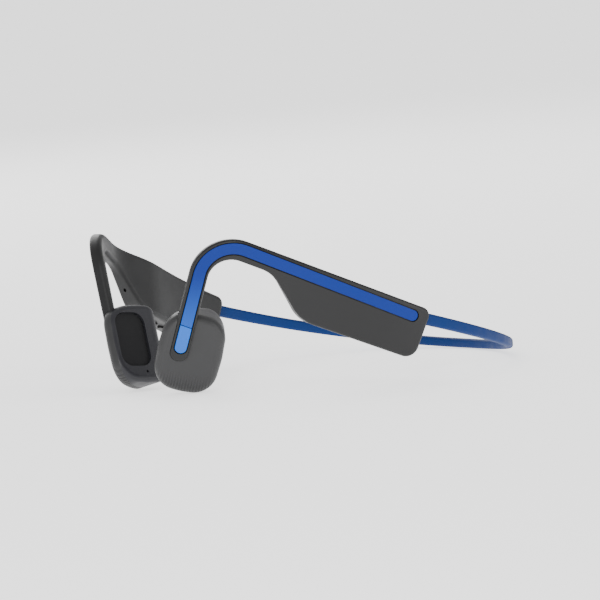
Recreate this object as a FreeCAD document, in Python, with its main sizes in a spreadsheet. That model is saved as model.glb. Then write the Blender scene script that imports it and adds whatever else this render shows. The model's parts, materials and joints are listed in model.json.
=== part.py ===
"""Bone conduction headphones: neckband, two ear-hook arms with pods, two transducers.

+Y points from the cheek pads to the back of the neck, +X to the wearer's left and +Z up.
The headphones stand on a table at Z = 0, on both transducers and on the back of the neckband.
Each arm is laid out in a side view (u runs backwards along the arm, z up) and follows a
leaning, curved skin; depth is measured from that skin towards the head. Both arms are laid
out as the left one, and the right one's pieces are mirrored.
"""
import FreeCAD, Part
import math
import os

V = FreeCAD.Vector
doc = FreeCAD.newDocument("bone_conduction_headphones")

SIZES = {
    # arm, side view
    "leg_tilt": 15.35,
    "arm_slope": 24.9,
    "pod_slope": 23.7,
    "ramp_slope": 63.4,
    "leg_half_width": 2.65,
    "arch_radius": 9.6,
    "arch_outer_radius": 12.0,
    "arch_inner_radius": 6.6,
    # arm, thickness
    "hook_thickness": 3.8,
    "pod_thickness": 9.0,
    "outer_rounding": 0.9,
    "inner_rounding": 1.4,
    "wall": 1.3,
    "wall_depth": 1.2,
    "seam_depth": 6.0,
    "gasket_width": 0.7,
    "gasket_thickness": 0.4,
    "arm_block": 75.0,
    # coloured stripe
    "stripe_half_width": 1.6,
    "groove_half_width": 1.95,
    "stripe_depth": 0.9,
    "stripe_recess": 0.1,
    # transducer
    "cap_half_width": 9.8,
    "cap_half_height": 12.4,
    "cap_corner": 7.2,
    "cap_depth": 3.3,
    "cap_rounding": 2.4,
    "cap_yaw": 30.0,
    "face_tilt": 31.0,
    "facet_tilt": 32.0,
    "housing_rounding": 1.8,
    "peak_radius": 4.0,
    "shell_wall": 1.2,
    # neckband
    "band_radius": 56.6,
    "band_thickness": 2.5,
    "band_height_front": 3.7,
    "band_height_rear": 2.8,
    "band_rise": 15.05,
    "band_rise_power": 1.12,
    "band_rounding": 0.9,
    "core_size": 1.0,
    "wires_size": 0.7,
    # right pod
    "port_width": 9.0,
    "port_height": 3.3,
    "button_length": 4.6,
    "button_width": 2.0,
    "button_proud": 0.6,
    "fit_gap": 0.1,
    "board_thickness": 0.8,
}
sheet = doc.addObject("Spreadsheet::Sheet", "Sizes")
for row, (name, value) in enumerate(SIZES.items(), start=1):
    sheet.set(f"A{row}", name)
    sheet.set(f"B{row}", str(value))
    sheet.setAlias(f"B{row}", name)
doc.recompute()


def size(name):
    return float(sheet.get(name))


# The origin is at the bottom centre of the whole: this shift puts it there along Y.
SHIFT = V(0, -0.13, 0)

# Side view directions: u runs back and slightly outwards, and the side view looks along SIDE.
SIDE_TURN = math.radians(25)
ALONG = V(math.sin(SIDE_TURN), math.cos(SIDE_TURN), 0)
SIDE = V(math.cos(SIDE_TURN), -math.sin(SIDE_TURN), 0)
UP = V(0, 0, 1)

# The skin is ruled between two plan arcs: (centre, radius, start angle, end angle, height).
SKIN_LOW = (V(-33.45, 20.14, 0), 93.41, -59.68, -10.13, 0.0)
SKIN_HIGH = (V(-27.02, 9.43, 0), 88.21, -48.18, -3.73, 50.0)
SKIN_FROM = -0.25
SKIN_TO = 1.25
SWELL_FROM = 0.30
SWELL_TO = 0.56


# ---------------------------------------------------------------- placing and outlines

def axes(origin, x_axis, y_axis, z_axis):
    """A placement whose local axes are the three given directions."""
    return FreeCAD.Placement(FreeCAD.Matrix(
        x_axis.x, y_axis.x, z_axis.x, origin.x,
        x_axis.y, y_axis.y, z_axis.y, origin.y,
        x_axis.z, y_axis.z, z_axis.z, origin.z,
        0, 0, 0, 1))


SIDE_VIEW = axes(SHIFT, ALONG, UP, SIDE)


def skin(along, height, depth=0.0):
    """A point of the arm, by its place along the arcs (0 to 1), height and depth."""
    share = (height - SKIN_LOW[4]) / (SKIN_HIGH[4] - SKIN_LOW[4])
    point = V(0, 0, height)
    for (centre, radius, start, end, _), weight in ((SKIN_LOW, 1 - share), (SKIN_HIGH, share)):
        angle = math.radians(start + (end - start) * along)
        rim = centre + V(math.cos(angle), math.sin(angle), 0) * (radius - depth)
        point += rim * weight
    return point + SHIFT


def skin_at(u, z, depth=0.0):
    """A point of the arm, by its side view coordinates and depth."""
    low, high = SKIN_FROM, SKIN_TO
    for _ in range(40):
        middle = (low + high) / 2
        if (skin(middle, z, depth) - SHIFT).dot(ALONG) < u:
            low = middle
        else:
            high = middle
    return skin((low + high) / 2, z, depth)


def skin_frame(u, z, depth, angle):
    """Local X along a side view direction, Y towards the head, Z upwards across it."""
    turn = math.radians(angle)
    step = 0.5
    here = skin_at(u, z, depth)
    ahead = skin_at(u + step * math.cos(turn), z + step * math.sin(turn), depth) - here
    ahead.normalize()
    upward = skin_at(u - step * math.sin(turn), z + step * math.cos(turn), depth) - here
    inward = upward.cross(ahead)
    inward.normalize()
    return axes(here, ahead, inward, ahead.cross(inward))


def swell(along):
    """Arm thickness: thin in the hook, growing smoothly into the pod."""
    share = min(max((along - SWELL_FROM) / (SWELL_TO - SWELL_FROM), 0), 1)
    smooth = share * share * (3 - 2 * share)
    return size("hook_thickness") + (size("pod_thickness") - size("hook_thickness")) * smooth


def side_line(u, z, angle, shift=0.0):
    """A side view line through (u, z); a positive shift moves it to its left."""
    turn = math.radians(angle)
    direction = V(math.cos(turn), math.sin(turn), 0)
    left = V(-direction.y, direction.x, 0)
    return V(u, z, 0) + left * shift, direction


def crossing(first, second):
    (start, along), (other, across) = first, second
    reach = (other - start).cross(across).z / along.cross(across).z
    return start + along * reach


def rounded(corners, closed=True):
    """Lines joined by tangent arcs, from a list of (corner, radius)."""
    count = len(corners)
    pieces = []
    joints = []
    for index, (corner, radius) in enumerate(corners):
        if not closed and index in (0, count - 1):
            joints.append((corner, corner, corner))
            continue
        before = corners[index - 1][0] - corner
        after = corners[(index + 1) % count][0] - corner
        half = before.getAngle(after) / 2
        before.normalize()
        after.normalize()
        setback = radius / math.tan(half)
        inside = before + after
        inside.normalize()
        middle = corner + inside * (radius / math.sin(half) - radius)
        joints.append((corner + before * setback, middle, corner + after * setback))
    for index, (start, middle, end) in enumerate(joints):
        if start != end:
            pieces.append(Part.Arc(start, middle, end))
        if closed or index < count - 1:
            pieces.append(Part.LineSegment(end, joints[(index + 1) % count][0]))
    return pieces


def panel(half_width, half_height, corner, bulge=0.0, centre=V(0, 0, 0)):
    """A rounded rectangle whose sides may bulge slightly."""
    swing = 22.0
    reach = [
        (half_width, 0, swing), (half_width - bulge, half_height - bulge, corner),
        (0, half_height, swing), (bulge - half_width, half_height - bulge, corner),
        (-half_width, 0, swing), (bulge - half_width, bulge - half_height, corner),
        (0, -half_height, swing), (half_width - bulge, bulge - half_height, corner),
    ]
    corners = [(centre + V(x, y, 0), radius) for x, y, radius in reach]
    return rounded(corners if bulge else corners[1::2])


def capsule(length, width):
    """A slot outline with round ends."""
    half = (length - width) / 2
    radius = width / 2
    return [
        Part.LineSegment(V(-half, -radius, 0), V(half, -radius, 0)),
        Part.Arc(V(half, -radius, 0), V(half + radius, 0, 0), V(half, radius, 0)),
        Part.LineSegment(V(half, radius, 0), V(-half, radius, 0)),
        Part.Arc(V(-half, radius, 0), V(-half - radius, 0, 0), V(-half, -radius, 0)),
    ]


# ---------------------------------------------------------------- document objects

def named(kind, name):
    return doc.addObject(kind, name)


def bound(item, **sizes):
    """Bind properties to the sheet: a value is an expression of sheet names."""
    for key, expression in sizes.items():
        item.setExpression(key, expression)
    return item


def sketch(name, geometry, placement):
    item = named("Sketcher::SketchObject", name)
    item.addGeometry(geometry, False)
    item.Placement = placement
    return item


def extrusion(name, base, forward, backward="0"):
    item = named("Part::Extrusion", name)
    item.Base = base
    item.DirMode = "Normal"
    item.Solid = True
    return bound(item, LengthFwd=forward, LengthRev=backward)


def offset_outline(name, base, distance, pipe=False):
    item = named("Part::Offset2D", name)
    item.Source = base
    item.Mode = "Pipe" if pipe else "Skin"
    return bound(item, Value=distance)


def common(name, *shapes):
    item = named("Part::MultiCommon", name)
    item.Shapes = list(shapes)
    return item


def fused(name, *shapes):
    item = named("Part::MultiFuse", name)
    item.Shapes = list(shapes)
    return item


def less(name, base, *tools):
    """The base with every tool cut away."""
    tool = tools[0] if len(tools) == 1 else fused(name + "_tools", *tools)
    item = named("Part::Cut", name)
    item.Base = base
    item.Tool = tool
    return item


def mirrored(name, base):
    item = named("Part::Mirroring", name)
    item.Source = base
    item.Base = V(0, 0, 0)
    item.Normal = V(1, 0, 0)
    return item


def box(name, frame, x_range, y_range, z_range):
    """A block in a local frame, each range a pair of local coordinates."""
    item = named("Part::Box", name)
    item.Length = x_range[1] - x_range[0]
    item.Width = y_range[1] - y_range[0]
    item.Height = z_range[1] - z_range[0]
    item.Placement = frame.multiply(FreeCAD.Placement(
        V(x_range[0], y_range[0], z_range[0]), FreeCAD.Rotation()))
    return item


def peg(name, frame, centre, axis, radius, length):
    """A cylinder in a local frame, from its centre of one end along an axis."""
    item = named("Part::Cylinder", name)
    item.Radius = radius
    item.Height = length
    item.Placement = frame.multiply(FreeCAD.Placement(
        centre, FreeCAD.Rotation(V(0, 0, 1), axis)))
    return item


def prism(name, geometry, frame, start, length):
    """An outline in the local XZ plane, extruded towards the head from a depth."""
    facing = frame.multiply(FreeCAD.Placement(
        V(0, start, 0), FreeCAD.Rotation(V(1, 0, 0), 90)))
    outline = sketch(name + "_outline", geometry, facing)
    return extrusion(name, outline, "0", length)


def edge_prism(name, geometry, frame, start, length):
    """An outline in the local XY plane, extruded along local Z from a height."""
    base = frame.multiply(FreeCAD.Placement(V(0, 0, start), FreeCAD.Rotation()))
    outline = sketch(name + "_outline", geometry, base)
    return extrusion(name, outline, str(length))


def layer(name, near, far):
    """The part of the arm between two depths; the far one may vary along the arm."""
    sections = []
    for level, height in (("low", SKIN_LOW[4]), ("high", SKIN_HIGH[4])):
        middle = (SKIN_FROM + SKIN_TO) / 2
        outer = [skin(share, height, near) for share in (SKIN_FROM, middle, SKIN_TO)]
        if callable(far):
            shares = [SKIN_FROM + (SKIN_TO - SKIN_FROM) * step / 16 for step in range(17)]
            points = [skin(share, height, far(share)) for share in shares]
            inner = Part.BSplineCurve()
            inner.interpolate(points)
        else:
            points = [skin(share, height, far) for share in (SKIN_FROM, middle, SKIN_TO)]
            inner = Part.Arc(*points)
        flat = [V(point.x, point.y, 0) for point in (outer[0], outer[-1], points[0], points[-1])]
        lift = FreeCAD.Placement(V(0, 0, height), FreeCAD.Rotation())
        drop = lift.inverse().toMatrix()
        edges = [Part.Arc(*outer), inner]
        for edge in edges:
            edge.transform(drop)
        edges.insert(1, Part.LineSegment(flat[1], flat[3]))
        edges.append(Part.LineSegment(flat[2], flat[0]))
        sections.append(sketch(f"{name}_{level}", edges, lift))
    item = named("Part::Loft", name)
    item.Sections = sections
    item.Solid = True
    item.Ruled = True
    return item


def fillet(name, base, choose, radius_name):
    """Round the edges that choose(edge) accepts."""
    doc.recompute()
    radius = size(radius_name)
    item = named("Part::Fillet", name)
    item.Base = base
    item.Edges = [
        (index, radius, radius)
        for index, edge in enumerate(base.Shape.Edges, start=1) if choose(edge)]
    doc.recompute()
    return item


# ---------------------------------------------------------------- arm blank

LEG = (-46.35, 12.35, 90 - size("leg_tilt"))
STRIPE_TOP = (-23.8, 41.05, -25.6)
TOP_EDGE = (-16.9, 40.9, -size("arm_slope"))
END_EDGE = (27.8, 18.1, 90 - size("arm_slope"))
BOTTOM_EDGE = (9.1, 11.25, -size("pod_slope"))
RAMP = (-14.5, 26.0, -size("ramp_slope"))
UNDER_EDGE = (-26.6, 38.55, -size("arm_slope"))
LEG_END = (-46.85, 10.3, -size("leg_tilt"))
HOLLOW_FRONT = (-8.1, 25.0, 90 - size("arm_slope"))

leg_width = size("leg_half_width")
arm_outline = sketch("arm_outline", rounded([
    (crossing(side_line(*LEG, leg_width), side_line(*TOP_EDGE)), size("arch_outer_radius")),
    (crossing(side_line(*TOP_EDGE), side_line(*END_EDGE)), 2.6),
    (crossing(side_line(*END_EDGE), side_line(*BOTTOM_EDGE)), 4.0),
    (crossing(side_line(*BOTTOM_EDGE), side_line(*RAMP)), 11.0),
    (crossing(side_line(*RAMP), side_line(*UNDER_EDGE)), 9.0),
    (crossing(side_line(*UNDER_EDGE), side_line(*LEG, -leg_width)), size("arch_inner_radius")),
    (crossing(side_line(*LEG, -leg_width), side_line(*LEG_END)), 2.5),
    (crossing(side_line(*LEG_END), side_line(*LEG, leg_width)), 2.5),
]), SIDE_VIEW)
arm_side = extrusion("arm_side", arm_outline, "Sizes.arm_block")
arm_depth = layer("arm_depth", 0.0, swell)
arm_sharp = common("arm_sharp", arm_side, arm_depth)
doc.recompute()


def facing_side(face):
    """+1 for a face that looks outwards, -1 towards the head, 0 for the rim."""
    low_u, high_u, low_v, high_v = face.ParameterRange
    normal = face.normalAt((low_u + high_u) / 2, (low_v + high_v) / 2)
    share = normal.dot(SIDE)
    return 0 if abs(share) < 0.6 else math.copysign(1, share)


def rim_edges(shape, side):
    """Hashes of the edges between the rim and the faces that look to one side."""
    rim = set()
    faced = set()
    for face in shape.Faces:
        looks = facing_side(face)
        hashes = {edge.hashCode() for edge in face.Edges}
        if looks == 0:
            rim |= hashes
        elif looks == side:
            faced |= hashes
    return rim & faced


inner_edges = rim_edges(arm_sharp.Shape, -1)
arm_inner = fillet(
    "arm_inner", arm_sharp, lambda edge: edge.hashCode() in inner_edges, "inner_rounding")
outer_edges = rim_edges(arm_inner.Shape, 1)
arm_blank = fillet(
    "arm_blank", arm_inner, lambda edge: edge.hashCode() in outer_edges, "outer_rounding")


# ---------------------------------------------------------------- arm inside



def pod_outline(name, inset, front):
    """The pod seen from the side: its edges moved inwards, with a straight front end."""
    top = side_line(*TOP_EDGE, -inset)
    end = side_line(*END_EDGE, inset)
    bottom = side_line(*BOTTOM_EDGE, inset)
    closure = side_line(*HOLLOW_FRONT, front)
    return sketch(name, rounded([
        (crossing(top, end), max(2.6 - inset, 1.0)),
        (crossing(end, bottom), max(4.0 - inset, 1.0)),
        (crossing(bottom, closure), 2.0),
        (crossing(closure, top), 2.0),
    ]), SIDE_VIEW)


hollow_outline = pod_outline("hollow_outline", size("wall"), 0.0)
hollow_side = extrusion("hollow_side", hollow_outline, "Sizes.arm_block")
hollow_depth = layer(
    "hollow_depth", size("wall_depth"), lambda along: swell(along) - size("wall_depth"))
pod_hollow = common("pod_hollow", hollow_side, hollow_depth)

COVER_MARGIN = 1.4
COVER_REACH = 12.0
cover_outline = pod_outline("cover_outline", -COVER_REACH, COVER_MARGIN)
cover_side = extrusion("cover_side", cover_outline, "Sizes.arm_block")
cover_depth = layer("cover_depth", size("seam_depth"), 14.0)
cover_zone = common("cover_zone", cover_side, cover_depth)

gasket_outline = pod_outline(
    "gasket_outline", size("wall") - size("gasket_width"), size("gasket_width"))
gasket_outer = extrusion("gasket_outer", gasket_outline, "Sizes.arm_block")
half_gasket = size("gasket_thickness") / 2
gasket_depth = layer(
    "gasket_depth", size("seam_depth") - half_gasket, size("seam_depth") + half_gasket)
gasket_ring = less("gasket_ring", gasket_outer, hollow_side)
gasket_blank = common("gasket_blank", gasket_ring, gasket_depth)

# Coloured stripe: one path over the leg, the arch and the arm, with round ends.
STRIPE_FOOT = side_line(*LEG)[0] + side_line(*LEG)[1] * 2.0
STRIPE_TAIL = V(22.4, 18.9, 0)
stripe_path = sketch("stripe_path", rounded([
    (STRIPE_FOOT, 0),
    (crossing(side_line(*LEG), side_line(*STRIPE_TOP)), size("arch_radius")),
    (STRIPE_TAIL, 0),
], closed=False), SIDE_VIEW)
stripe_outline = offset_outline(
    "stripe_outline", stripe_path, "Sizes.stripe_half_width", pipe=True)
stripe_side = extrusion("stripe_side", stripe_outline, "Sizes.arm_block")
stripe_layer = layer("stripe_layer", size("stripe_recess"), size("stripe_depth"))
stripe_whole = common("stripe_whole", stripe_side, stripe_layer)
groove_outline = offset_outline(
    "groove_outline", stripe_path, "Sizes.groove_half_width", pipe=True)
groove_side = extrusion("groove_side", groove_outline, "Sizes.arm_block")
groove_layer = layer("groove_layer", -2.0, size("stripe_depth"))
groove = common("groove", groove_side, groove_layer)

# Sprung core and leads, moulded into the hook between the leg and the pod.
LEADS_SHIFT = 1.15


def hook_run(name, shift, half_width, near, far):
    """A strip along the hook, beside its centreline, between two depths."""
    start = side_line(*LEG, shift)[0] + side_line(*LEG)[1] * 11.2
    tail = crossing(side_line(*STRIPE_TOP, shift), side_line(*HOLLOW_FRONT))
    path = sketch(name + "_path", rounded([
        (start, 0),
        (crossing(side_line(*LEG, shift), side_line(*STRIPE_TOP, shift)),
         size("arch_radius") + shift),
        (tail + side_line(*STRIPE_TOP)[1] * 1.0, 0),
    ], closed=False), SIDE_VIEW)
    outline = offset_outline(name + "_outline", path, str(half_width), pipe=True)
    side = extrusion(name + "_side", outline, "Sizes.arm_block")
    depth = layer(name + "_depth", near, far)
    return common(name, side, depth)


hook_core = hook_run("hook_core", -0.35, 0.5, 1.7, 2.6)
hook_leads = hook_run("hook_leads", LEADS_SHIFT, 0.35, 1.9, 2.5)

# ---------------------------------------------------------------- neckband

BAND_CENTRE = V(0, 5.9, 0) + SHIFT
band_rear_height = size("band_height_rear") / 2


def band_height(share):
    """Height of the band's centreline; the share runs from 0 at the pods to 1 behind."""
    return band_rear_height + size("band_rise") * (1 - share) ** size("band_rise_power")


def band_strip(name, lift, half_front, half_rear, front, rear=1.1):
    """The band's side view, extruded across both sides."""
    edges = []
    ends = []
    for side in (1, -1):
        points = []
        for step in range(10):
            share = front + (min(rear, 1.0) - front) * step / 9
            half = half_front + (half_rear - half_front) * share
            y = BAND_CENTRE.y + size("band_radius") * share
            points.append(V(y, band_height(share) + lift + side * half, 0))
        last = points[-1]
        if rear > 1.0:
            points.append(V(last.x + size("band_radius") * (rear - 1.0), last.y, 0))
        curve = Part.BSplineCurve()
        curve.interpolate(points)
        edges.append(curve)
        ends.append((points[0], points[-1]))
    edges.insert(1, Part.LineSegment(ends[0][1], ends[1][1]))
    edges.append(Part.LineSegment(ends[1][0], ends[0][0]))
    across = axes(V(-75, 0, 0), V(0, 1, 0), V(0, 0, 1), V(1, 0, 0))
    outline = sketch(name + "_profile", edges, across)
    return extrusion(name + "_strip", outline, "150")


def band_ring(name, inner, outer):
    """A flat ring round the band's centre, tall enough for the whole band."""
    rims = []
    for part, reach in (("inner", inner), ("outer", outer)):
        rim = named("Part::Cylinder", f"{name}_{part}")
        bound(rim, Radius=f"Sizes.band_radius + {reach}")
        rim.Height = 40
        rim.Placement = FreeCAD.Placement(BAND_CENTRE - V(0, 0, 10), FreeCAD.Rotation())
        rims.append(rim)
    return less(name + "_ring", rims[1], rims[0])


def band_piece(name, reach, lift, half_front, half_rear, front, rear=1.1):
    """Part of the band between two radii, following its side view."""
    ring = band_ring(name, -reach, reach)
    strip = band_strip(name, lift, half_front, half_rear, front, rear)
    return common(name, ring, strip)


sleeve_sharp = band_piece(
    "sleeve_sharp", size("band_thickness") / 2, 0,
    size("band_height_front") / 2, size("band_height_rear") / 2, -0.084)
doc.recompute()
sleeve_long = {
    edge.hashCode() for edge in sleeve_sharp.Shape.Edges if edge.Length > 100}
sleeve_blank = fillet(
    "sleeve_blank", sleeve_sharp, lambda edge: edge.hashCode() in sleeve_long, "band_rounding")
CORE_LIFT = -0.35
WIRES_LIFT = 0.65
half_core = size("core_size") / 2
half_wires = size("wires_size") / 2
neckband_core = band_piece(
    "neckband_core", half_core, CORE_LIFT, half_core, half_core, -0.145)
neckband_wires = band_piece(
    "neckband_wires", half_wires, WIRES_LIFT, half_wires, half_wires, -0.16)
neckband_sleeve = less("neckband_sleeve", sleeve_blank, neckband_core, neckband_wires)

# Clearance round the band where it enters a pod, and the ferrule on its core inside.
band_way = band_piece(
    "band_way", size("band_thickness") / 2 + 0.08, 0,
    size("band_height_front") / 2 + 0.08, size("band_height_front") / 2 + 0.08, -0.0855, 0.3)
core_way = band_piece("core_way", half_core + 0.05, CORE_LIFT,
                      half_core + 0.05, half_core + 0.05, -0.15, 0.3)
wires_way = band_piece("wires_way", half_wires + 0.05, WIRES_LIFT,
                       half_wires + 0.05, half_wires + 0.05, -0.165, 0.3)
ferrule_both = band_piece("ferrule_both", 0.9, 0.0, 1.45, 1.45, -0.14, -0.088)
left_half = box("left_half", FreeCAD.Placement(), (0.5, 90), (-90, 90), (-10, 60))
ferrule_left = common("ferrule_left", ferrule_both, left_half)
band_ferrule = less("band_ferrule", ferrule_left, core_way, wires_way)

# ---------------------------------------------------------------- transducer

CAP_BESIDE_LEG = 3.4
CAP_BELOW = -4.72
leg_spot = skin_at(-45.0, 17.0, 1.2)
cap_up = skin_at(-41.5, 30.5, 1.2) - leg_spot
cap_up.normalize()
cap_turn = math.radians(size("cap_yaw"))
cap_facing = V(math.cos(cap_turn), -math.sin(cap_turn), 0)
cap_inward = cap_up * cap_facing.dot(cap_up) - cap_facing
cap_inward.normalize()
cap_back = cap_inward.cross(cap_up)
TRANSDUCER = axes(
    leg_spot + cap_back * CAP_BESIDE_LEG + cap_up * CAP_BELOW, cap_back, cap_inward, cap_up)
cap_width = size("cap_half_width")
cap_height = size("cap_half_height")
shell_wall = size("shell_wall")
HEADWARD = V(0, 1, 0)
FACE_START = 3.6
FACE_END = 4.3

# The face that rests on the cheek is turned inwards: local X runs back along it, Y out of it.
face_turn = size("face_tilt")
FACE = TRANSDUCER.multiply(FreeCAD.Placement(
    V(-cap_width, FACE_START, 0), FreeCAD.Rotation(V(0, 0, 1), face_turn)))
face_peak = FACE_START + (FACE_END + cap_width) * math.tan(math.radians(face_turn))
PAD_CENTRE = V(6.7, 0, 1.0)
DRIVER_CENTRE = V(11.2, 0, 0)


def shell_prism(name, inset, start, length):
    """The transducer's outline moved inwards, extruded towards the head."""
    outline = panel(cap_width - inset, cap_height - inset, size("cap_corner") - inset, 0.7)
    return prism(name, outline, TRANSDUCER, start, length)


def face_prism(name, half_width, half_height, below, length, centre, corner=1.5):
    """An outline in the plane of the cheek face, from a depth below it towards it."""
    outline = panel(half_width, half_height, corner, centre=V(centre.x, centre.z, 0))
    return prism(name, outline, FACE, -below, length)


cap_sharp = shell_prism("cap_sharp", 0, 0, "Sizes.cap_depth")
cap_round = fillet(
    "cap_round", cap_sharp,
    lambda edge: abs(TRANSDUCER.inverse().multVec(edge.CenterOfMass).y) < 0.05, "cap_rounding")
cap_cavity = shell_prism("cap_cavity", shell_wall, 1.3, "10")
cap_shell = less("cap_shell", cap_round, cap_cavity)
leg_room = box("leg_room", skin_frame(-45.0, 17.0, 0, -size("leg_tilt")),
               (-12, 12), (-8, 4.4), (-14, 14))
leg_slot = common("leg_slot", arm_side, leg_room)
board_room = box("board_room", skin_frame(-45.4, 15.8, 0, 90 - size("leg_tilt")),
                 (-4.8, 4.8), (2.2, 3.3), (-1.8, 1.8))
pad_flange = face_prism("pad_flange", 5.8, 9.0, 1.7, "0.5", PAD_CENTRE, 4.1)
transducer_cap = less("transducer_cap", cap_shell, leg_slot, board_room, pad_flange)


def wedge(name, start, inset):
    """The housing's outer form, or with an inset the form of its cavity."""
    block = shell_prism(name + "_block", inset, start, "16")
    face_line = side_line(-cap_width, FACE_START, face_turn, -inset)
    facet_line = side_line(FACE_END, face_peak, -size("facet_tilt"), -inset)
    front, rear = V(-14, 0, 0), V(14, 0, 0)
    plan = edge_prism(name + "_plan", rounded([
        (crossing(side_line(front.x, 0, 90), side_line(0, -4, 0)), 0.5),
        (crossing(side_line(front.x, 0, 90), face_line), 0.5),
        (crossing(face_line, facet_line), size("peak_radius") - inset),
        (crossing(facet_line, side_line(rear.x, 0, 90)), 0.5),
        (crossing(side_line(rear.x, 0, 90), side_line(0, -4, 0)), 0.5),
    ]), TRANSDUCER, -20, 40)
    return common(name, block, plan)


housing_sharp = wedge("housing_sharp", size("cap_depth"), 0)
doc.recompute()


def above_split(edge):
    """True for the housing's edges that don't lie on the split with the cap."""
    local = TRANSDUCER.inverse()
    heights = [local.multVec(point).y for point in edge.discretize(9)]
    return max(heights) - min(heights) > 0.3 and min(heights) > size("cap_depth") + 0.02


housing_round = fillet("housing_round", housing_sharp, above_split, "housing_rounding")
housing_cavity = wedge("housing_cavity", 0, shell_wall)
pad_opening = face_prism("pad_opening", 5.3, 8.5, 3.0, "8", PAD_CENTRE, 3.6)
flexure_blank = face_prism("flexure_blank", 4.9, 11.6, 3.4, "0.2", DRIVER_CENTRE)
transducer_housing = less(
    "transducer_housing", housing_round, housing_cavity, pad_opening, flexure_blank,
    pad_flange)

pad_plug = face_prism("pad_plug", 5.3, 8.5, 1.7, "0.8", PAD_CENTRE, 3.6)
contact_pad = fused("contact_pad", pad_plug, pad_flange)
drive_plate = face_prism("drive_plate", 5.0, 8.8, 2.2, "0.5", V(10.1, 0, 0))
yoke_can = face_prism("yoke_can", 4.6, 7.2, 6.4, "3.0", DRIVER_CENTRE)
yoke_bore = face_prism("yoke_bore", 3.8, 6.4, 5.7, "3.0", DRIVER_CENTRE)
driver_yoke = less("driver_yoke", yoke_can, yoke_bore)
driver_magnet = face_prism("driver_magnet", 2.7, 5.3, 5.7, "1.4", DRIVER_CENTRE)
driver_top_plate = face_prism("driver_top_plate", 2.75, 5.35, 4.3, "0.7", DRIVER_CENTRE)
coil_outer = face_prism("coil_outer", 3.5, 6.1, 5.0, "2.8", DRIVER_CENTRE)
coil_bore = face_prism("coil_bore", 3.05, 5.65, 6.0, "5.0", DRIVER_CENTRE)
voice_coil = less("voice_coil", coil_outer, coil_bore)
flexure_centre = face_prism("flexure_centre", 3.85, 6.45, 5.0, "4", DRIVER_CENTRE)
flexure_slots = []
for index, height in enumerate((8.2, -8.2)):
    flexure_slots.append(box(
        f"flexure_slot_{index}", FACE, (DRIVER_CENTRE.x - 3.4, DRIVER_CENTRE.x + 3.4),
        (-5, 0), (height - 0.3, height + 0.3)))
flexure = less("flexure", flexure_blank, flexure_centre, *flexure_slots)

# ---------------------------------------------------------------- left arm only

button_split = box(
    "button_split", skin_frame(-44.0, 20.5, 0, 90 - size("leg_tilt")),
    (-20, 0), (-8, 8), (-8, 8))
split_gap = box(
    "split_gap", skin_frame(-44.0, 20.5, 0, 90 - size("leg_tilt")),
    (-0.12, 0.12), (-8, 8), (-8, 8))
left_stripe = less("left_stripe", stripe_whole, button_split, split_gap)
button_layer = layer("button_layer", 0.0, 1.05)
button_whole = common("button_whole", stripe_side, button_layer, button_split)
multifunction_button = less("multifunction_button", button_whole, split_gap)
well_layer = layer("well_layer", -2.0, 1.4)
button_well = common("button_well", groove_side, well_layer, button_split)
SWITCH_FRAME = skin_frame(-45.4, 15.8, 0, 90 - size("leg_tilt"))
pocket = prism("pocket", capsule(9.6, 3.5), SWITCH_FRAME, 0.5, "2.6")
button_board = prism("button_board", capsule(9.0, 3.0), SWITCH_FRAME, 2.55, "0.5")
switch_body = box("switch_body", SWITCH_FRAME, (-1.3, 1.3), (2.0, 2.55), (-1.2, 1.2))
switch_dome = peg("switch_dome", SWITCH_FRAME, V(0, 1.5, 0), HEADWARD, 0.8, 0.6)
button_switch = fused("button_switch", switch_body, switch_dome)

POD = skin_frame(8.1, 20.75, 0, -24.4)
battery_block = box("battery", POD, (-11.5, 12.0), (2.5, 6.4), (-5.6, 5.4))
battery_foam = box("battery_foam", POD, (-11.0, 11.5), (6.4, 7.4), (-5.0, 4.8))
battery_board = box("battery_board", POD, (-13.6, -12.0), (2.9, 5.8), (-5.0, 4.6))
doc.recompute()
battery_edges = [
    index for index, edge in enumerate(battery_block.Shape.Edges, start=1)
    if abs(edge.Length - (12.0 + 11.5)) < 0.01]
battery = named("Part::Fillet", "battery_rounded")
battery.Base = battery_block
battery.Edges = [(index, 1.2, 1.2) for index in battery_edges]

# ---------------------------------------------------------------- right arm only


def edge_frame(u, depth):
    """On the pod's lower edge: X along it to the rear, Y towards the head, Z into the pod."""
    z = crossing(side_line(*BOTTOM_EDGE), side_line(u, 0, 90))
    return skin_frame(u, z.y, depth, -size("pod_slope"))


main_board_plate = box("main_board_plate", POD, (-14.0, 12.5), (5.2, 6.0), (-5.2, 5.2))
board_holes = []
boss_posts = []
boss_bores = []
screw_pieces = []
for index, x in enumerate((-12.3, 10.8)):
    spot = V(x, 0, 3.6)
    board_holes.append(peg(f"board_hole_{index}", POD, spot, HEADWARD, 0.65, 8))
    boss_posts.append(peg(f"boss_post_{index}", POD, spot + V(0, 0.8, 0), HEADWARD, 1.3, 4.4))
    boss_bores.append(peg(f"boss_bore_{index}", POD, spot + V(0, 2.2, 0), HEADWARD, 0.55, 4))
    screw_pieces.append(fused(
        f"board_screw_{index}",
        peg(f"screw_shank_{index}", POD, spot + V(0, 2.4, 0), HEADWARD, 0.55, 3.65),
        peg(f"screw_head_{index}", POD, spot + V(0, 6.0, 0), HEADWARD, 1.1, 0.55)))
board_screws = named("Part::Compound", "board_screws")
board_screws.Links = screw_pieces
shield_can = box("shield_can", POD, (-8.5, 6.5), (3.2, 5.2), (0.2, 5.0))
antenna = box("antenna", POD, (-9.0, 4.0), (6.9, 7.1), (-4.0, 3.0))

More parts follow.
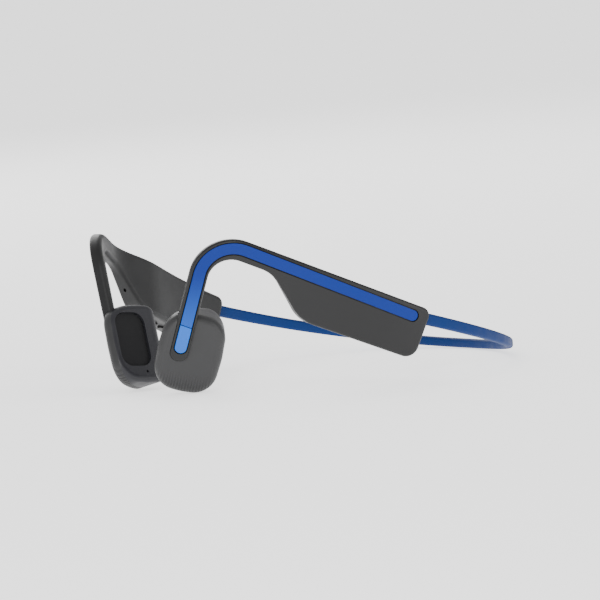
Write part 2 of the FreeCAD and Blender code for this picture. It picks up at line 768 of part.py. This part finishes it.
PORT = edge_frame(13.1, 3.55)
port_length = size("port_width")
port_height = size("port_height")
fit_gap = size("fit_gap")
PORT_RECESS = 0.85
receptacle_shell = edge_prism(
    "receptacle_shell", capsule(port_length - 0.06, port_height - 0.1), PORT, 0.95, 6.6)
receptacle_bore = edge_prism(
    "receptacle_bore", capsule(port_length - 0.66, port_height - 0.7), PORT, 0.5, 6.3)
receptacle_tongue = box(
    "receptacle_tongue", PORT, (-3.3, 3.3), (-0.35, 0.35), (1.9, 7.0))
usb_receptacle = fused(
    "usb_receptacle",
    less("receptacle_tube", receptacle_shell, receptacle_bore), receptacle_tongue)
port_opening = edge_prism("port_opening", capsule(port_length, port_height), PORT, -2, 5)
board_notch = edge_prism("board_notch", capsule(port_length, port_height), PORT, 0.9, 6.7)
main_board = less("main_board", main_board_plate, board_notch, *board_holes)
COVER_FRONT = -6.0
COVER_PIVOT = 5.4
COVER_HALF = 2.1
ROLL_RADIUS = 0.38
port_recess = box(
    "port_recess", PORT, (COVER_FRONT - fit_gap, COVER_PIVOT + ROLL_RADIUS + fit_gap),
    (-COVER_HALF - fit_gap, COVER_HALF + fit_gap), (-2, PORT_RECESS))
cover_plate = box(
    "cover_plate", PORT, (COVER_FRONT, COVER_PIVOT), (-COVER_HALF, COVER_HALF),
    (0.02, 0.02 + 2 * ROLL_RADIUS))
cover_roll = peg("cover_roll", PORT, V(COVER_PIVOT, -COVER_HALF, 0.02 + ROLL_RADIUS),
                 HEADWARD, ROLL_RADIUS, 2 * COVER_HALF)
charge_port_cover = fused("charge_port_cover", cover_plate, cover_roll)


def volume_button(name, u):
    """A capsule key through the lower wall, a flange that keeps it in, and its way out."""
    frame = edge_frame(u, 3.55)
    length = size("button_length")
    width = size("button_width")
    proud = size("button_proud")
    key = edge_prism(name + "_key", capsule(length, width), frame, -proud, proud + 1.75)
    flange = edge_prism(
        name + "_flange", capsule(length + 0.9, width + 0.9), frame, 1.75, 0.5)
    way = edge_prism(
        name + "_way", capsule(length + 2 * fit_gap, width + 2 * fit_gap), frame, -2, 4.5)
    switch = box(name + "_switch", frame, (-1.6, 1.6), (-1.1, 1.1), (2.7, 4.4))
    return fused(name, key, flange), way, switch


volume_up_button, up_way, up_switch = volume_button("volume_up_button", -1.9)
volume_down_button, down_way, down_switch = volume_button("volume_down_button", 4.1)
volume_switches = named("Part::Compound", "volume_switches")
volume_switches.Links = [up_switch, down_switch]

LIGHT = edge_frame(19.8, 3.2)
light_guide = peg("light_guide", LIGHT, V(0, 0, 0.1), V(0, 0, 1), 0.5, 3.2)
MIC = skin_frame(-14.8, 27.2, 2.4, -size("arm_slope"))
mic_tunnel = peg("mic_tunnel", MIC, V(-1.0, 0, 0), V(1, 0, 0), 0.45, 9.5)
mic_mesh = peg("mic_mesh", MIC, V(1.7, 0, 0), V(1, 0, 0), 0.45, 0.3)
CHEEK_MIC = V(9.6, 0, -9.3)
cheek_tunnel = peg("cheek_tunnel", FACE, CHEEK_MIC + V(0, -2.5, 0), HEADWARD, 0.4, 8)
cheek_mesh = peg("cheek_mesh", FACE, CHEEK_MIC + V(0, -1.0, 0), HEADWARD, 0.4, 0.2)
microphone_meshes = named("Part::Compound", "microphone_meshes")
microphone_meshes.Links = [mic_mesh, cheek_mesh]
pod_microphone = box(
    "pod_microphone", POD, (-15.6, -14.4), (1.9, 3.9), (1.2, 3.4))
cheek_microphone = box(
    "cheek_microphone", FACE, (8.4, 10.8), (-2.3, -1.2), (-10.2, -9.05))

# ---------------------------------------------------------------- finished pieces

shell_base = less(
    "shell_base", arm_blank, cover_zone, pod_hollow, gasket_blank, groove,
    hook_core, hook_leads, band_way, core_way, wires_way)
cover_base = less(
    "cover_base", common("cover_blank", arm_blank, cover_zone), pod_hollow, gasket_blank,
    band_way)
left_shell = less("left_shell", shell_base, button_well, pocket)
bosses = less(
    "bosses", common("boss_walls", fused("boss_pair", *boss_posts), arm_blank),
    groove, *boss_bores)
right_shell = less(
    "right_shell", fused("shell_with_bosses", shell_base, bosses),
    port_opening, port_recess, up_way, down_way, light_guide, mic_tunnel, pod_microphone)
right_housing = less("right_housing", transducer_housing, cheek_tunnel)

BOTH = {
    "pod_cover": cover_base,
    "pod_gasket": gasket_blank,
    "hook_core": hook_core,
    "hook_leads": hook_leads,
    "band_ferrule": band_ferrule,
    "transducer_cap": transducer_cap,
    "contact_pad": contact_pad,
    "drive_plate": drive_plate,
    "voice_coil": voice_coil,
    "driver_yoke": driver_yoke,
    "driver_magnet": driver_magnet,
    "driver_top_plate": driver_top_plate,
    "flexure": flexure,
}
LEFT = {
    "left_arm_shell": left_shell,
    "left_transducer_housing": transducer_housing,
    "left_stripe": left_stripe,
    "multifunction_button": multifunction_button,
    "button_board": button_board,
    "button_switch": button_switch,
    "battery": battery,
    "battery_foam": battery_foam,
    "battery_board": battery_board,
}
RIGHT = {
    "right_arm_shell": right_shell,
    "right_transducer_housing": right_housing,
    "right_stripe": stripe_whole,
    "main_board": main_board,
    "board_screws": board_screws,
    "shield_can": shield_can,
    "antenna": antenna,
    "usb_receptacle": usb_receptacle,
    "charge_port_cover": charge_port_cover,
    "volume_up_button": volume_up_button,
    "volume_down_button": volume_down_button,
    "volume_switches": volume_switches,
    "light_guide": light_guide,
    "pod_microphone": pod_microphone,
    "cheek_microphone": cheek_microphone,
    "microphone_meshes": microphone_meshes,
}
NODES = {
    "neckband_sleeve": neckband_sleeve,
    "neckband_core": neckband_core,
    "neckband_wires": neckband_wires,
}
NODES.update(LEFT)
for node, item in BOTH.items():
    NODES["left_" + node] = item
    NODES["right_" + node] = mirrored("mirror_" + node, item)
for node, item in RIGHT.items():
    NODES[node] = mirrored("mirror_" + node, item)
doc.recompute()

for item in doc.Objects:
    if "Invalid" in item.State or "Error" in item.State:
        raise RuntimeError(f"{item.Name} failed: {item.State}")
os.makedirs("parts", exist_ok=True)
whole = FreeCAD.BoundBox()
for node, item in NODES.items():
    item.Label = node
    shape = item.Shape
    if shape.isNull() or not shape.isValid() or not shape.Solids or shape.Volume <= 0:
        raise RuntimeError(f"{node} has no valid solid")
    whole.add(shape.BoundBox)
    print(f"{node}: {len(shape.Solids)} solid(s), {shape.Volume:.1f} mm3")
    shape.exportStep(f"parts/{node}.step")
print("whole", whole)
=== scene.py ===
import json
import math

import bpy
from mathutils import Matrix, Vector


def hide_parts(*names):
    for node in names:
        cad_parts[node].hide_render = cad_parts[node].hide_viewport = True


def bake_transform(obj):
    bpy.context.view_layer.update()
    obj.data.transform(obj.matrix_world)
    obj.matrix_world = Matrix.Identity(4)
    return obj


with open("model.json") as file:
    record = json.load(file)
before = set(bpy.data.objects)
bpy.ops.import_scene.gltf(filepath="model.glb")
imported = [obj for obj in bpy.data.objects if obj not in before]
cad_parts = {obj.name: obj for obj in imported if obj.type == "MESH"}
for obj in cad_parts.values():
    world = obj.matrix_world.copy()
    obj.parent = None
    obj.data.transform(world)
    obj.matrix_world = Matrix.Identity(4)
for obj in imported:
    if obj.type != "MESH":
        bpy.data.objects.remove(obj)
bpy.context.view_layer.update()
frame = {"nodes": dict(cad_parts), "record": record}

# ---------------------------------------------------------------- materials


def socket(node, *names):
    """The first of a node's inputs that goes by one of these names."""
    for name in names:
        if name in node.inputs:
            return node.inputs[name]
    raise KeyError(names)


class Finish:
    """A material built up from procedural layers."""

    def __init__(self, name, colour, rough, metal=0.0):
        self.material = bpy.data.materials.new(name)
        self.material.use_nodes = True
        self.tree = self.material.node_tree
        self.shader = self.tree.nodes["Principled BSDF"]
        self.shader.inputs["Base Color"].default_value = (*colour, 1)
        self.shader.inputs["Roughness"].default_value = rough
        self.shader.inputs["Metallic"].default_value = metal
        if not metal:
            socket(self.shader, "Specular IOR Level", "Specular").default_value = 0.35
        self.place = self.tree.nodes.new("ShaderNodeTexCoord").outputs["Object"]

    def node(self, kind, **values):
        made = self.tree.nodes.new(kind)
        for name, value in values.items():
            setattr(made, name, value)
        return made

    def link(self, start, end):
        self.tree.links.new(start, end)

    def maths(self, operation, first, second=0.0):
        made = self.node("ShaderNodeMath", operation=operation)
        for index, value in enumerate((first, second)):
            if isinstance(value, (int, float)):
                made.inputs[index].default_value = value
            else:
                self.link(value, made.inputs[index])
        return made.outputs[0]

    def along(self, direction, origin):
        """Distance of the point from origin along a direction, in metres."""
        shift = self.node("ShaderNodeVectorMath", operation="SUBTRACT")
        self.link(self.place, shift.inputs[0])
        shift.inputs[1].default_value = origin
        dot = self.node("ShaderNodeVectorMath", operation="DOT_PRODUCT")
        self.link(shift.outputs[0], dot.inputs[0])
        dot.inputs[1].default_value = direction
        return dot.outputs["Value"]

    def ramp(self, value, low, high, to_low=0.0, to_high=1.0):
        made = self.node("ShaderNodeMapRange", interpolation_type="SMOOTHSTEP")
        self.link(value, made.inputs["Value"])
        made.inputs["From Min"].default_value = low
        made.inputs["From Max"].default_value = high
        made.inputs["To Min"].default_value = to_low
        made.inputs["To Max"].default_value = to_high
        return made.outputs["Result"]

    def noise(self, size, detail=4.0, roughness=0.6):
        """Noise whose features are about size metres across."""
        made = self.node("ShaderNodeTexNoise")
        made.inputs["Scale"].default_value = 1 / size
        made.inputs["Detail"].default_value = detail
        made.inputs["Roughness"].default_value = roughness
        self.link(self.place, made.inputs["Vector"])
        return made.outputs["Fac"]

    def colour_mix(self, factor, colour):
        """Blend another colour in over what the base colour already is."""
        mix = self.node("ShaderNodeMix", data_type="RGBA")
        base = self.shader.inputs["Base Color"]
        if base.is_linked:
            self.link(base.links[0].from_socket, mix.inputs[6])
        else:
            mix.inputs[6].default_value = base.default_value
        mix.inputs[7].default_value = (*colour, 1)
        if isinstance(factor, (int, float)):
            mix.inputs[0].default_value = factor
        else:
            self.link(factor, mix.inputs[0])
        self.link(mix.outputs[2], base)
        return self

    def mottle(self, size, amount):
        """Slight light and dark patches, in the colour and the roughness."""
        patches = self.noise(size, 3.0)
        share = self.ramp(patches, 0.35, 0.65, 0.0, amount)
        base = self.shader.inputs["Base Color"].default_value
        self.colour_mix(share, [min(1.0, c * 1.6) for c in base[:3]])
        rough = self.shader.inputs["Roughness"].default_value
        self.link(
            self.ramp(patches, 0.25, 0.75, rough - 0.07, rough + 0.07),
            self.shader.inputs["Roughness"])
        return self

    def relief(self, height, distance, strength=1.0):
        """Raise the surface by a height pattern, up to distance in metres."""
        bump = self.node("ShaderNodeBump")
        bump.inputs["Strength"].default_value = strength
        bump.inputs["Distance"].default_value = distance
        self.link(height, bump.inputs["Height"])
        normal = self.shader.inputs["Normal"]
        if normal.is_linked:
            self.link(normal.links[0].from_socket, bump.inputs["Normal"])
        self.link(bump.outputs["Normal"], normal)
        return self

    def grain(self, size=0.00022, depth=0.000012, strength=0.5):
        """The fine spark-eroded texture of a moulding."""
        return self.relief(self.noise(size, 2.0), depth, strength)


# The left transducer cap's own frame: the way its ribs repeat, its long way up, its centre.
RIB_WAY = (0.4808, 0.83277, -0.27445)
CAP_UP = (0.36309, 0.09581, 0.92681)
CAP_CENTRE = (0.01865, -0.056137, 0.011692)
RIB_PITCH = 0.00084
RIB_DEPTH = 0.00010
RIBS_START = -0.0050
RIBS_FULL = -0.0110
# Where the painted highlight on the blue inlay's leg starts and fades.
LEG_FRONT_Y = -0.046
LEG_TOP = 0.038
LEG_FOOT = 0.018


def mirror(vector, side):
    return (vector[0] * side, vector[1], vector[2])


def charcoal():
    """Satin charcoal moulding, with painted shade making it nearly black where it faces up."""
    made = Finish("charcoal_shell", (0.009, 0.009, 0.0095), 0.42)
    made.mottle(0.006, 0.10)
    painted_shade_facing = made.node("ShaderNodeSeparateXYZ")
    made.link(made.node("ShaderNodeTexCoord").outputs["Normal"], painted_shade_facing.inputs[0])
    # Painted shade: surfaces that face up are darkened towards black.
    made.colour_mix(made.ramp(painted_shade_facing.outputs["Z"], 0.35, 0.95, 0.0, 0.85), (0.002, 0.002, 0.0025))
    made.grain()
    return made.material


def ribbed_cap(side):
    """Fine upright ribs along the lower rim, fading out upwards, with painted shade in the rib
    troughs.
    """
    made = Finish("cap_plastic", (0.028, 0.028, 0.029), 0.44)
    made.mottle(0.005, 0.10).grain()
    up = made.along(mirror(CAP_UP, side), mirror(CAP_CENTRE, side))
    across = made.along(mirror(RIB_WAY, side), mirror(CAP_CENTRE, side))
    rib = made.maths("SINE", made.maths("MULTIPLY", across, 2 * math.pi / RIB_PITCH))
    fade = made.ramp(up, RIBS_START, RIBS_FULL)
    made.relief(made.maths("MULTIPLY", rib, fade), RIB_DEPTH, 1.0)
    # Painted shade: the rib troughs are darkened in colour, fading out upwards with the ribs.
    dark = made.maths("MULTIPLY", made.ramp(rib, 0.2, -0.9), made.maths("MULTIPLY", fade, 0.55))
    made.colour_mix(dark, (0.005, 0.005, 0.006))
    return made.material


def housing():
    made = Finish("housing_plastic", (0.017, 0.017, 0.021), 0.36)
    made.mottle(0.005, 0.12).grain()
    return made.material


def silicone(name, colour, rough):
    """Soft-touch silicone: a fine grain, and a pale bloom at grazing angles."""
    made = Finish(name, colour, rough)
    made.mottle(0.004, 0.08).grain(0.00016, 0.00001, 0.6)
    socket(made.shader, "Sheen Weight", "Sheen").default_value = 0.02
    socket(made.shader, "Specular IOR Level", "Specular").default_value = 0.18
    socket(made.shader, "Sheen Roughness").default_value = 0.4
    return made.material


def stripe(lit):
    """The blue inlay, with a painted highlight making it brighter down the leg that hangs in front
    of the ear.
    """
    made = Finish("button_blue" if lit else "blue_stripe", (0.0006, 0.021, 0.20), 0.45)
    socket(made.shader, "Specular IOR Level", "Specular").default_value = 0.2
    made.mottle(0.005, 0.06)
    if lit:
        made.colour_mix(0.85, (0.025, 0.17, 0.66))
    # Painted highlight: the inlay is lightened on the lower front leg, which faces the light.
    leg = made.ramp(made.along((0, 1, 0), (0, LEG_FRONT_Y, 0)), 0.0, -0.006)
    low = made.ramp(made.along((0, 0, 1), (0, 0, 0)), LEG_TOP, LEG_FOOT)
    made.colour_mix(
        made.maths("MULTIPLY", made.maths("MULTIPLY", leg, low), 0.6), (0.018, 0.14, 0.62))
    made.grain()
    return made.material


def steel(name, colour, rough):
    """Drawn metal with fine scratches one way."""
    made = Finish(name, colour, rough, 1.0)
    stretch = made.node("ShaderNodeMapping")
    stretch.inputs["Scale"].default_value = (1, 1, 14)
    made.link(made.place, stretch.inputs["Vector"])
    streaks = made.node("ShaderNodeTexNoise")
    streaks.inputs["Scale"].default_value = 1800
    made.link(stretch.outputs["Vector"], streaks.inputs["Vector"])
    made.relief(streaks.outputs["Fac"], 0.000006, 0.5)
    return made.material


def plain(name, colour, rough, metal=0.0):
    made = Finish(name, colour, rough, metal)
    made.mottle(0.003, 0.1).grain(0.0003)
    return made.material


FINISHES = {
    "band_silicone": silicone("band_silicone", (0.0007, 0.021, 0.115), 0.6),
    "titanium": steel("titanium", (0.50, 0.49, 0.47), 0.35),
    "wire_jacket": plain("wire_jacket", (0.02, 0.02, 0.02), 0.6),
    "charcoal_shell": charcoal(),
    "housing_plastic": housing(),
    "blue_stripe": stripe(False),
    "button_blue": stripe(True),
    "soft_pad": silicone("soft_pad", (0.012, 0.012, 0.013), 0.6),
    "seal_rubber": silicone("seal_rubber", (0.007, 0.007, 0.008), 0.65),
    "circuit_board": plain("circuit_board", (0.02, 0.09, 0.045), 0.4),
    "steel": steel("steel", (0.56, 0.56, 0.57), 0.3),
    "magnet_plating": steel("magnet_plating", (0.66, 0.66, 0.68), 0.15),
    "copper_coil": plain("copper_coil", (0.62, 0.24, 0.09), 0.3, 1.0),
    "battery_foil": plain("battery_foil", (0.55, 0.55, 0.57), 0.35, 1.0),
    "dark_moulding": plain("dark_moulding", (0.018, 0.018, 0.02), 0.45),
    "clear_plastic": plain("clear_plastic", (0.6, 0.6, 0.62), 0.15),
}
OWN_FINISHES = {
    "left_transducer_cap": ribbed_cap(1),
    "right_transducer_cap": ribbed_cap(-1),
    "microphone_meshes": FINISHES["dark_moulding"],
}
for part in frame["record"]["subparts"]:
    node = frame["nodes"][part["node"]]
    finish = OWN_FINISHES.get(part["node"]) or FINISHES[part["material_slot"]]
    node.data.materials.clear()
    node.data.materials.append(finish)

# ---------------------------------------------------------------- neckband

BAND_CENTRE_Y = 0.00577
BAND_RADIUS = 0.0566
BAND_REAR_CENTRE = 0.0014
BAND_RISE = 0.01505
BAND_RISE_POWER = 1.12
CORNER_STEPS = 6
BAND_STEPS = 140

# Each layer of the band: its slot, thickness, height at the pods and behind the neck, how far
# its centreline is lifted, where it starts inside the pod, and the rounding of its corners.
BAND_LAYERS = {
    "neckband_sleeve": ("band_silicone", 0.0025, 0.0037, 0.0028, 0.0, -0.084, 0.0009),
    "neckband_core": ("titanium", 0.0010, 0.0010, 0.0010, -0.00035, -0.145, 0.00015),
    "neckband_wires": ("wire_jacket", 0.0007, 0.0007, 0.0007, 0.00065, -0.16, 0.0002),
}


def rounded_section(half_width, half_height, rounding):
    """A rounded rectangle, as (outward, up) pairs."""
    points = []
    wide = half_width - rounding
    tall = half_height - rounding
    for corner, (side, top) in enumerate(((1, 1), (-1, 1), (-1, -1), (1, -1))):
        for step in range(CORNER_STEPS + 1):
            angle = math.radians(90 * (corner + step / CORNER_STEPS))
            points.append((
                side * wide + rounding * math.cos(angle), top * tall + rounding * math.sin(angle)))
    return points


def band_half(node, side):
    """Half of one layer of the neckband, from its pod to the middle of the back."""
    slot, thick, front, rear, lift, start, rounding = BAND_LAYERS[node]
    first = math.asin(start)
    ring = 4 * (CORNER_STEPS + 1)
    verts = []
    for step in range(BAND_STEPS + 1):
        angle = first + (math.pi / 2 - first) * step / BAND_STEPS
        share = math.sin(angle)
        half = (front + (rear - front) * share) / 2
        height = BAND_REAR_CENTRE + BAND_RISE * max(0.0, 1 - share) ** BAND_RISE_POWER + lift
        for out, up in rounded_section(thick / 2, half, rounding):
            reach = BAND_RADIUS + out
            verts.append((
                side * reach * math.cos(angle), BAND_CENTRE_Y + reach * share, height + up))
    faces = []
    for step in range(BAND_STEPS):
        for index in range(ring):
            after = (index + 1) % ring
            low, high = step * ring, (step + 1) * ring
            quad = [low + index, low + after, high + after, high + index]
            faces.append(quad if side > 0 else quad[::-1])
    near_end = list(range(ring))
    faces.append(near_end[::-1] if side > 0 else near_end)
    name = node + ("_left" if side > 0 else "_right")
    mesh = bpy.data.meshes.new(name)
    mesh.from_pydata(verts, [], faces)
    mesh.shade_smooth()
    mesh.materials.append(FINISHES[slot])
    half = bpy.data.objects.new(name, mesh)
    bpy.context.scene.collection.objects.link(half)
    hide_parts(node)
    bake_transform(half)


for layer in BAND_LAYERS:
    band_half(layer, 1)
    band_half(layer, -1)

# ---------------------------------------------------------------- floor, light and camera

FLOOR_SIZE = 14
FLOOR_Z = -0.0002
SENSOR_WIDTH = 36
LENS = 435.6
CAMERA_DISTANCE = 2.2
LOOK_AT = Vector((0, 0, 0.020))
LOOK_LEFT = 0.00115
LOOK_UP = 0.00158

bpy.ops.mesh.primitive_plane_add(size=FLOOR_SIZE, location=(0, 0, FLOOR_Z))
floor = bpy.context.object
floor.name = "floor"
floor_finish = Finish("floor", (0.86, 0.86, 0.86), 0.9)
socket(floor_finish.shader, "Emission Color", "Emission").default_value = (1, 1, 1, 1)
floor_finish.shader.inputs["Emission Strength"].default_value = 1.2
floor.data.materials.append(floor_finish.material)

world = bpy.data.worlds.new("studio")
bpy.context.scene.world = world
world.use_nodes = True
world.node_tree.nodes["Background"].inputs["Color"].default_value = (1, 1, 1, 1)
world.node_tree.nodes["Background"].inputs["Strength"].default_value = 0.8


def soft_light(name, position, size, power):
    """A square softbox that faces the headphones."""
    data = bpy.data.lights.new(name, "AREA")
    data.size = size
    data.energy = power
    lamp = bpy.data.objects.new(name, data)
    lamp.location = position
    aim = LOOK_AT - Vector(position)
    lamp.rotation_euler = aim.to_track_quat("-Z", "Y").to_euler()
    bpy.context.scene.collection.objects.link(lamp)


soft_light("key", (1.0, -1.05, 0.45), 0.5, 9)
soft_light("fill", (1.1, 0.45, 0.30), 0.7, 4)
soft_light("back", (-0.9, 0.3, 0.6), 0.7, 5)

AROUND = math.radians(36)
ABOVE = math.radians(2)
PITCH = Matrix.Rotation(math.radians(-5), 3, "X")
back = PITCH @ Vector((
    math.cos(AROUND) * math.cos(ABOVE), -math.sin(AROUND) * math.cos(ABOVE), math.sin(ABOVE)))
right = PITCH @ Vector((math.sin(AROUND), math.cos(AROUND), 0))
up = back.cross(right)
aim = LOOK_AT - right * LOOK_LEFT + up * LOOK_UP
camera_data = bpy.data.cameras.new("camera")
camera_data.sensor_width = SENSOR_WIDTH
camera_data.lens = LENS
camera_data.clip_end = 50
camera = bpy.data.objects.new("camera", camera_data)
turn = Matrix((right, up, back)).transposed()
camera.matrix_world = Matrix.Translation(aim + back * CAMERA_DISTANCE) @ turn.to_4x4()
bpy.context.scene.collection.objects.link(camera)
bpy.context.scene.camera = camera
